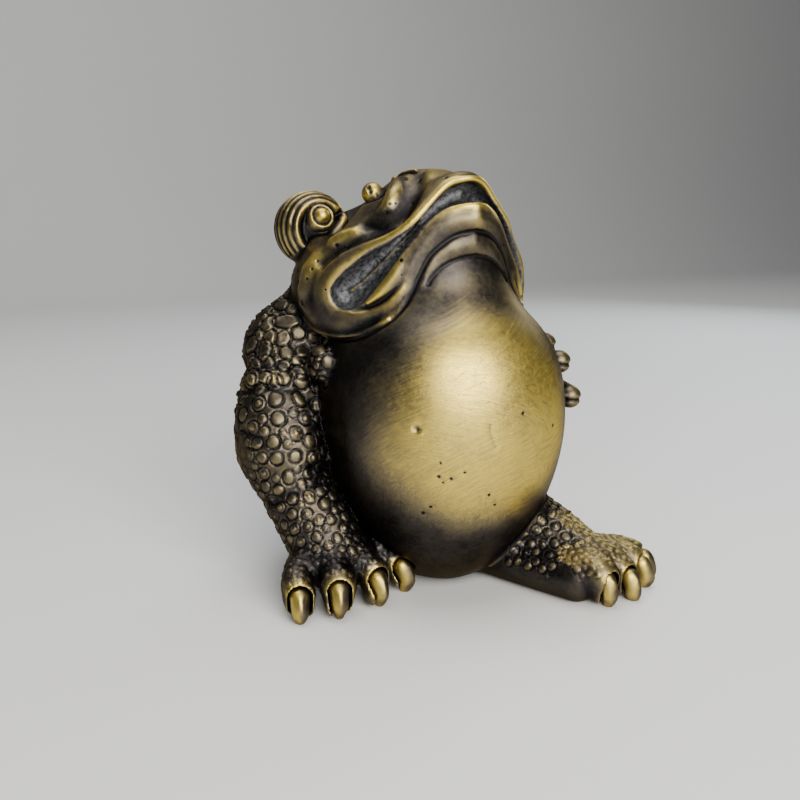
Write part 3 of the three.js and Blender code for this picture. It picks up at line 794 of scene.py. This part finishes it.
# A superellipse over turn and height, softer at the left
def bellyShine(v):
    turn = np.degrees(np.arctan2(v[:, 0], belly["behind"] - v[:, 1])) - shine["turn"]
    rise = (v[:, 2] - shine["middle"]) / shine["halfHeight"]
    turn = turn * np.where(turn < 0, 1 + shine["leftLower"] * (shine["middle"] - v[:, 2]), 1)
    square = shine["square"]
    reach = (np.abs(turn / shine["halfTurn"]) ** square + np.abs(rise) ** square) ** (1 / square)
    inside = 1 - smoothStep(reach, 0.6 - 0.3 * smoothStep(-turn, 0, 40), 1.1)
    onBelly = 1 - smoothStep(np.minimum(bellyDistance(v), 4), 1.5, 3)
    return inside * onBelly


# From 1 at the start of a fade to 0 at its end
def within(distance, start, end):
    return 1 - smoothStep(distance, start, end)


# The farther out a part is on the face, the brighter it is worn; the eye's hollow stays dark. The
# painted reflection on the neck and the painted glints in the mouth's crease are added here.
def regionShine(v, m, onHead, patch):
    front = within(v[:, 1], 18, 34)
    tone = shine["ground"] + onHead * front * (shine["face"] - shine["ground"])
    throat = smoothStep(v[:, 2], 60, 68) * (1 - onHead) * within(v[:, 1], 2, 10)
    tone = np.maximum(tone, throat * shine["throat"])
    # Painted reflection: a pale streak added to the tone on the neck beside the jowl
    rows, spread, gain = shine["paintedSheen"]
    tone = tone + gain * bell(np.maximum(toRod(m, rows) / spread, 0), 0, 1)
    for centre, radius, gain in shine["spots"]:
        tone = tone + gain * bell(np.linalg.norm(m - np.float32(centre), axis=1), 0, radius) * onHead
    for name, gain in shine["lines"]:
        tone = tone + gain * within(toRod(m, mouth[name]), 0.1, 1.1)
    pocket = np.minimum(toRod(m, mouth["pocket"]), toRod(m, mouth["depths"]))
    # Painted glints: bright dots along the crease inside the mouth, kept clear of the mouth's murk
    glintBeads = within(toRod(m, pads["mouthCrease"][0]), 0.15, 0.5)
    glintBeads = glintBeads * smoothStep(np.sin(shine["glintBeads"] * m[:, 2]), -0.4, 0.5)
    inside = within(pocket, 0.1, 0.6) * (1 - glintBeads) * (onHead > 0.5)
    tone = np.maximum(tone, shine["mouthCrease"] * glintBeads)
    local = m - eyeCentre
    far = np.linalg.norm(local, axis=1)
    lid = shine["ground"] + shine["lid"] * smoothStep(local @ gaze, -3, 3)
    tone = np.where(far < eye["radius"] + 1.4, np.where(far < eye["radius"] - 0.9, 0, lid), tone)
    ball = np.linalg.norm(local - ballOffset, axis=1) - eye["ballRadius"]
    tone = np.where(ball < 0.6, shine["ball"], tone)
    middle = ballOffset + gaze * eye["ballRadius"]
    tone = tone + shine["pupil"] * within(np.linalg.norm(local - middle, axis=1), 1.4, 2.4)
    return np.maximum(tone, patch * shine["patch"]), inside


# On the limbs the fronts and the hoods over the claws are made brighter; each claw has painted light on
# its left side and painted shade on its right
def limbShine(v, n, left, rough):
    arm = within(armDistance(v), 0.6, 1.6) * left
    leg = within(toRod(v, hindLeg), 0.6, 1.6) * smoothStep(n[:, 2], 0.2, 0.6)
    tone = shine["limbFront"] * np.maximum(arm, leg)
    tone = np.maximum(tone, shine["footTop"] * rough * smoothStep(n[:, 2], 0.3, 0.8) * (v[:, 1] < -12))
    tone = np.maximum(tone, shine["seam"] * within(toRod(v, seam), 0.1, 0.5))
    # Painted light and shade on the claws: bright where the face looks left and forward, dark on the
    # far side
    low, high = shine["claw"]
    clawPaintedLight = low + (high - low) * smoothStep(n @ np.array(shine["sides"]["claw"]), 0.15, 0.95)
    hooded = smoothStep(n @ np.array(shine["sides"]["hood"]), 0.3, 0.85)
    for digit in fingers + toes:
        tone = np.maximum(tone, shine["arch"] * hooded * within(toRod(v, digit[-2:]), 0.2, 1))
        away = toRod(v, clawRows(digit))
        tone = np.where(away < 0.8, np.where(away < 0.3, clawPaintedLight, 0), tone)
    for digit in restingFingers:
        tone = np.where(toRod(v, digit) < 0.6, shine["fingerEnd"], tone)
    return tone


# What comes within a margin of the solid's box is eased to stay inside it, exponentially
def eased(v):
    margin, gap = np.array(carving["margin"]), carving["boxGap"]
    low, high = np.array(cadLow) / share + gap, np.array(cadHigh) / share - gap
    over = np.maximum(v - high + margin, 0)
    v = np.where(over > 0, high - margin * np.exp(-over / margin), v)
    under = np.maximum(low + margin - v, 0) * [1, 1, 0]
    v = np.where(under > 0, low + margin * np.exp(-under / margin), v)
    return np.maximum(v, [-100, -100, carving["floorGap"]])


# Heights of all the marks over the skin, the crowns of warts, the pits, and the zones
def stampRelief(p, n, rng):
    zone = wartZone(p, n)
    scaly = zone & ((p[:, 2] > 51) | (p[:, 1] > 30))  # the shoulders and the back
    height, top = wartRelief(p, zone & ~scaly, warts, rng)
    rough = pebbleZone(p, n) & ~zone
    nape = napeZone(p) & ~zone
    for part, kind in ((scaly, scales), (nape, napeScales), (rough, pebbles)):
        more, crown = wartRelief(p, part, kind, rng)
        height += more
        top = np.maximum(top, shine["otherTop"] * crown)
    print("warts and pebbles")
    height += bowlRelief(p, *dents["dent"]) + bowlRelief(p, *dents["dentLip"])
    rows, radius, depth = dents["score"]
    height -= depth * bell(np.maximum(toRod(p, withRadius(rows, 0)) / radius, 0), 0, 1)
    for spot in p[rng.choice(np.flatnonzero(zone), lumps["count"])]:
        radius, depth = rng.uniform(*lumps["radius"]), rng.uniform(-1, 1) * lumps["height"]
        height += bowlRelief(p, spot, radius, depth)
    pits = np.zeros(len(p), np.float32)
    for radius, depth, places in (dents["facePits"], dents["bellyPits"]):
        for place in places:
            bowl = bowlRelief(p, place, radius * rng.uniform(0.75, 1.3), 1)
            height += depth * bowl
            pits = np.maximum(pits, -bowl)
    return height, top, pits, zone, rough, nape


# Edge is how far a vertex stands out from the skin smoothed a little, swell from the skin smoothed a
# lot, and tone goes by place; the tone holds wear and also painted light and shade
def wearAndPaintedLightValues(p, v, n, quads, relief):
    top, pits, zone, rough, nape = relief
    soft = relaxed(v, quads, carving["edgePasses"])
    edge = np.einsum("ij,ij->i", v - soft, n)
    soft = relaxed(soft, quads, carving["swellPasses"])
    swell = np.einsum("ij,ij->i", v - soft, n)
    edge = edge * np.where(zone | rough | nape, shine["wartEdge"], 1)
    onHead = within(headDistance(p), 0.6, 2.5)
    swell = swell * (shine["bodySwell"] + (1 - shine["bodySwell"]) * onHead)
    patch = bellyShine(p)
    tone, inside = regionShine(p, mirrored(p), onHead, patch)
    left = smoothStep(n @ np.array(shine["sides"]["limb"]), 0.35, 0.95)
    tone = tone + shine["wartTop"] * top * (0.2 + 0.8 * left) * (zone | rough)
    tone = np.maximum(tone, limbShine(p, n, left, rough)) * (1 - pits)
    return {"tone": tone, "edge": edge, "swell": swell, "patch": patch, "pitted": onHead,
            "inside": inside}


# The net, each vertex moved along its normal by the height of the marks, then eased
def makeSkin():
    rng = np.random.default_rng(seed)
    field, low, step = sweepBlock()
    print("field", field.shape)
    v, quads = surfaceNet(field, low, step)
    print("net", len(v), "vertices")
    n = vertexNormals(v, quads)
    p = v.astype(np.float32)
    height, *relief = stampRelief(p, n, rng)
    v = eased(v + n * height[:, None])
    return v, quads, wearAndPaintedLightValues(p, v, n, quads, relief)


def smoothed(mesh):
    mesh.polygons.foreach_set("use_smooth", np.ones(len(mesh.polygons), bool))
    return mesh


def stand(name, data):
    thing = bpy.data.objects.new(name, data)
    bpy.context.scene.collection.objects.link(thing)
    return thing


# A mesh of four-sided faces, with the values as attributes of its vertices
def fillMesh(name, v, quads, values):
    mesh = bpy.data.meshes.new(name)
    mesh.vertices.add(len(v))
    mesh.vertices.foreach_set("co", (v * share).astype(np.float32).ravel())
    mesh.loops.add(quads.size)
    mesh.loops.foreach_set("vertex_index", quads.astype(np.int32).ravel())
    mesh.polygons.add(len(quads))
    mesh.polygons.foreach_set("loop_start", np.arange(0, quads.size, 4, dtype=np.int32))
    for key, value in values.items():
        layer = mesh.attributes.new(key, "FLOAT", "POINT")
        layer.data.foreach_set("value", value.astype(np.float32))
    mesh.update(calc_edges=True)
    return smoothed(mesh)


# Thins the flat parts of the skin until it is within its triangles
def thin(thing, triangles):
    modifier = thing.modifiers.new("thin", "DECIMATE")
    modifier.ratio = min(1, triangles / (2 * len(thing.data.polygons)))
    modifier.use_collapse_triangulate = True
    bpy.context.view_layer.update()
    worked = thing.evaluated_get(bpy.context.evaluated_depsgraph_get())
    mesh = bpy.data.meshes.new_from_object(worked)
    thing.modifiers.clear()
    thing.data = smoothed(mesh)


def makeToad():
    v, quads, values = makeSkin()
    toad = stand("toadSkin", fillMesh("toadSkin", v, quads, values))
    thin(toad, carving["triangles"])
    print("skin", len(toad.data.polygons), "triangles")
    return toad


brass = {
    "stops": {"patina": 0.04, "brown": 0.22, "olive": 0.5, "bright": 0.92},  # how rubbed each colour is
    "patina": (0.019, 0.018, 0.019, 1),
    "brown": (0.06, 0.052, 0.044, 1),
    "olive": (0.205, 0.165, 0.088, 1),
    "bright": (0.64, 0.48, 0.1, 1),
    "edgeTint": (0.6, 0.54, 0.44, 1),  # what it reflects at a glancing angle
    "mouth": (0.125, 0.127, 0.135, 1),
    "mouthRough": 0.62, "brightRough": 0.4, "patinaRough": 0.44,
    "edgeShine": 1.9,  # how much an edge is rubbed, for each hundredth that it stands out
    "swellShine": 0.36,
    "cloudScale": 120.0, "cloudShine": 0.08,
    "grainScale": 900.0, "grainShine": 0.05, "grainRough": 0.06, "grainDepth": (0.7, 3),
    "speck": (0.25, 1.8),  # the mouth's darkest and palest grains
    "pitSpacing": 0.0026, "pitRadius": 0.2, "pitFrom": 0.6, "pitShade": 0.1, "pitDepth": 2,
    "strokeWidth": 0.0003, "strokeShine": (-0.2, 0.12), "strokeDepth": 0.55,
    "scratchWidth": 0.00022, "scratchLength": 45, "scratchShine": 0.2, "scratchDepth": 0.6,
    "scratchTurns": ((20, 15, 35), (0, -30, -10)),
    "bump": 0.4, "bumpHeight": 0.00012,
}
brushing = {
    "centres": ((-0.01, -0.007, 0.031), (0.024, -0.007, 0.01)),  # two ways, mixed in patches
    "patchScale": 55.0, "patchEdge": (0.44, 0.56),
    "turn": (-78, 0, -34),  # brings the patch's middle on to the brushing axis
    "bend": 0.01, "bendScale": 22.0,
    "around": 9,
}


# A node with its sockets set by name, or its settings where no socket has that name
def addNode(tree, kind, **settings):
    node = tree.nodes.new("ShaderNode" + kind)
    for key, value in settings.items():
        if key in node.inputs:
            node.inputs[key].default_value = value
        else:
            setattr(node, key, value)
    return node


def addNoise(tree, place, scale, detail, roughness=0.5):
    noise = addNode(tree, "TexNoise", Scale=scale, Detail=detail, Roughness=roughness)
    tree.links.new(place, noise.inputs["Vector"])
    return noise


def combine(tree, operation, a, b, clamp=False):
    node = addNode(tree, "Math", operation=operation, use_clamp=clamp)
    for socket, value in zip(node.inputs, (a, b)):
        if isinstance(value, (int, float)):
            socket.default_value = value
        else:
            tree.links.new(value, socket)
    return node.outputs[0]


def rescale(tree, value, low, high, toLow, toHigh):
    sockets = {"From Min": low, "From Max": high, "To Min": toLow, "To Max": toHigh}
    node = addNode(tree, "MapRange", **sockets)
    tree.links.new(value, node.inputs["Value"])
    return node.outputs[0]


# Most of a noise lies between 0.3 and 0.7
def spreadNoise(tree, noise, low, high):
    return rescale(tree, noise, 0.3, 0.7, low, high)


def toolsFor(tree):
    return tree.links.new, *[partial(tool, tree) for tool in (addNode, combine, rescale)]


# Brush strokes run in bent rings round the centre: noise that is fine along the distance from
# the brushing axis and long round it, in a space that slow noise bends
def brushStrokes(tree, place, centre):
    link, node, maths, _ = toolsFor(tree)
    wander = addNoise(tree, place, brushing["bendScale"], 1.0)
    bent = node("VectorMath", operation="MULTIPLY_ADD")
    link(wander.outputs["Color"], bent.inputs[0])
    bent.inputs[1].default_value = [brushing["bend"]] * 3
    link(place, bent.inputs[2])
    local = node("Mapping", vector_type="TEXTURE", Location=centre,
                 Rotation=[math.radians(a) for a in brushing["turn"]])
    link(bent.outputs[0], local.inputs["Vector"])
    flat, length, way, spread = [node("VectorMath", operation=name)
                                 for name in ("MULTIPLY", "LENGTH", "NORMALIZE", "MULTIPLY_ADD")]
    link(local.outputs[0], flat.inputs[0])
    flat.inputs[1].default_value = (1, 1, 0)
    link(flat.outputs[0], length.inputs[0])
    link(flat.outputs[0], way.inputs[0])
    out = node("CombineXYZ")
    link(maths("DIVIDE", length.outputs["Value"], brass["strokeWidth"]), out.inputs["Z"])
    link(way.outputs[0], spread.inputs[0])
    spread.inputs[1].default_value = [brushing["around"]] * 3
    link(out.outputs[0], spread.inputs[2])
    return addNoise(tree, spread.outputs[0], 1.0, 3.0, 0.6).outputs["Fac"]


# Straight scratches: noise stretched along one direction across the belly
def scratches(tree, place, turn):
    link, node, _, scaled = toolsFor(tree)
    width = brass["scratchWidth"]
    local = node("Mapping", vector_type="TEXTURE", Rotation=[math.radians(a) for a in turn],
                 Scale=(width * brass["scratchLength"], width, width))
    link(place, local.inputs["Vector"])
    return scaled(addNoise(tree, local.outputs[0], 1.0, 2.0).outputs["Fac"], 0.64, 0.74, 0, 1)


def makeBrass():
    material = bpy.data.materials.new("agedBrass")
    material.use_nodes = True
    tree = material.node_tree
    link, node, maths, scaled = toolsFor(tree)
    spread = partial(spreadNoise, tree)
    shader = tree.nodes["Principled BSDF"]
    shader.inputs["Metallic"].default_value = 1
    shader.inputs["Specular Tint"].default_value = brass["edgeTint"]
    place = node("TexCoord").outputs["Object"]
    tone, edge, swell, patch, pitted, inside = [
        node("Attribute", attribute_name=name).outputs["Fac"]
        for name in ("tone", "edge", "swell", "patch", "pitted", "inside")]
    cloud = addNoise(tree, place, brass["cloudScale"], 8.0, 0.62).outputs["Fac"]
    grain = addNoise(tree, place, brass["grainScale"], 4.0, 0.7).outputs["Fac"]
    broad = addNoise(tree, place, brushing["patchScale"], 2.0).outputs["Fac"]
    strokes, others = [brushStrokes(tree, place, centre) for centre in brushing["centres"]]
    other = scaled(broad, *brushing["patchEdge"], 0, 1)
    strokes = maths("ADD", strokes, maths("MULTIPLY", maths("SUBTRACT", others, strokes), other))
    crossed = maths("MAXIMUM", *[scratches(tree, place, turn) for turn in brass["scratchTurns"]])

    # How worn the metal is, by place, edges, brushing, scratches and grain, with the painted
    # highlights, painted reflection and painted shade that the tone carries
    steep, slow = 0.25 * brass["edgeShine"], brass["swellShine"]
    wearAndPaintedLight = tone
    for more in (scaled(edge, -0.25, 0.25, -steep, steep), scaled(swell, -1, 1, -slow, slow),
                 spread(cloud, -brass["cloudShine"], brass["cloudShine"]),
                 maths("MULTIPLY", spread(strokes, *brass["strokeShine"]), patch),
                 maths("MULTIPLY", crossed, maths("MULTIPLY", patch, -brass["scratchShine"]))):
        wearAndPaintedLight = maths("ADD", wearAndPaintedLight, more)
    more = spread(grain, -brass["grainShine"], brass["grainShine"])
    wearAndPaintedLight = maths("ADD", wearAndPaintedLight, more, clamp=True)

    # Fine pits: in some of the cells of a cell pattern, on the head
    cells = node("TexVoronoi", Scale=1 / brass["pitSpacing"])
    link(place, cells.inputs["Vector"])
    chance = node("SeparateColor")
    link(cells.outputs["Color"], chance.inputs[0])
    radius = scaled(chance.outputs[0], brass["pitFrom"], 1, 0, brass["pitRadius"])
    pit = maths("LESS_THAN", cells.outputs["Distance"], maths("MULTIPLY", radius, pitted))

    # Colour: the ramp outside, a grey murk in the mouth
    ramp = node("ValToRGB")
    stops = ramp.color_ramp.elements
    for name in ("brown", "olive"):
        stops.new(brass["stops"][name])
    for stop, (name, position) in zip(stops, brass["stops"].items()):
        stop.position, stop.color = position, brass[name]
    link(maths("MULTIPLY", wearAndPaintedLight, scaled(pit, 0, 1, 1, brass["pitShade"])), ramp.inputs["Fac"])
    murk = node("VectorMath", operation="SCALE")
    murk.inputs[0].default_value = brass["mouth"][:3]
    link(scaled(grain, 0.35, 0.7, *brass["speck"]), murk.inputs["Scale"])
    skin = node("Mix", data_type="RGBA")
    link(inside, skin.inputs["Factor"])
    link(ramp.outputs["Color"], skin.inputs["A"])
    link(murk.outputs[0], skin.inputs["B"])
    link(skin.outputs["Result"], shader.inputs["Base Color"])

    rough = scaled(wearAndPaintedLight, 0, 1, brass["patinaRough"], brass["brightRough"])
    rough = maths("ADD", rough, maths("MULTIPLY", inside, brass["mouthRough"] - brass["patinaRough"]))
    rough = maths("ADD", rough, spread(grain, -brass["grainRough"], brass["grainRough"]))
    link(rough, shader.inputs["Roughness"])

    depth = maths("MULTIPLY", scaled(strokes, 0, 1, 0, brass["strokeDepth"]), patch)
    scratched = maths("MULTIPLY", crossed, maths("MULTIPLY", patch, brass["scratchDepth"]))
    depth = maths("SUBTRACT", depth, scratched)
    depth = maths("ADD", depth, maths("MULTIPLY", grain, scaled(inside, 0, 1, *brass["grainDepth"])))
    depth = maths("SUBTRACT", depth, maths("MULTIPLY", pit, brass["pitDepth"]))
    bump = node("Bump", Strength=brass["bump"], Distance=brass["bumpHeight"])
    link(depth, bump.inputs["Height"])
    link(bump.outputs[0], shader.inputs["Normal"])
    return material


# Studio: a pale floor that curves up behind, one large soft light in front and above, one
# overhead and a cooler one at the back right
studio = {
    "floor": (0.66, 0.66, 0.65, 1),
    "floorRough": 0.6,
    "sweep": (3.0, -1.2, 0.7, 0.35, 1.6),  # half width, front, where it turns up, how round, top
    "aim": (0, 0, 0.05),
    "world": (0.12, 0.125, 0.135, 1),
    "lights": [
        ("key", (-0.08, -0.56, 0.34), (0.5, 0.48), 8.4, (1, 0.97, 0.92)),
        ("top", (0.02, 0.12, 0.85), (0.7, 0.7), 6.5, (1, 1, 1)),
        ("rim", (0.55, 0.3, 0.28), (0.22, 0.22), 1.2, (0.86, 0.93, 1)),
    ],
}


def makeStudio():
    width, front, turnUp, radius, top = studio["sweep"]
    arc = np.linspace(0, np.pi / 2, 17)
    y = np.concatenate([[front], turnUp + radius * np.sin(arc), [turnUp + radius]])
    z = np.concatenate([[0], radius * (1 - np.cos(arc)), [top]])
    v = [(x, a, b) for a, b in zip(y, z) for x in (-width, width)]
    f = [(2 * i, 2 * i + 1, 2 * i + 3, 2 * i + 2) for i in range(len(y) - 1)]
    mesh = bpy.data.meshes.new("floor")
    mesh.from_pydata(v, [], f)
    floor = stand("floor", smoothed(mesh))
    paint = bpy.data.materials.new("paleFloor")
    paint.use_nodes = True
    finish = paint.node_tree.nodes["Principled BSDF"].inputs
    finish["Base Color"].default_value = studio["floor"]
    finish["Roughness"].default_value = studio["floorRough"]
    mesh.materials.append(paint)
    world = bpy.data.worlds.new("studio")
    world.use_nodes = True
    world.node_tree.nodes["Background"].inputs["Color"].default_value = studio["world"]
    bpy.context.scene.world = world
    for name, place, size, power, color in studio["lights"]:
        lamp = bpy.data.lights.new(name, "AREA")
        lamp.shape = "RECTANGLE"
        lamp.size, lamp.size_y = size
        lamp.energy = power
        lamp.color = color
        holder = stand(name, lamp)
        holder.location = place
        aim = np.array(studio["aim"]) - np.array(place)
        aim /= np.linalg.norm(aim)
        holder.rotation_euler = (math.acos(-aim[2]), 0, math.atan2(-aim[0], aim[1]))


# The photograph's angle: 12 degrees down, turned 30 degrees round the toad
view = {"place": (-118.8, -179.6, 91), "down": 12, "turn": 30, "lens": 40.5}


def makeCamera():
    data = bpy.data.cameras.new("camera")
    data.lens = view["lens"]
    data.sensor_width = 36
    data.clip_start = 0.01
    camera = stand("camera", data)
    camera.location = [c * share for c in view["place"]]
    camera.rotation_euler = (math.radians(90 - view["down"]), 0, math.radians(-view["turn"]))
    bpy.context.scene.camera = camera


makeCamera()
makeStudio()
toad = makeToad()
toad.data.materials.append(makeBrass())
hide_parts("toad")
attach(toad, "root")
print("finished")
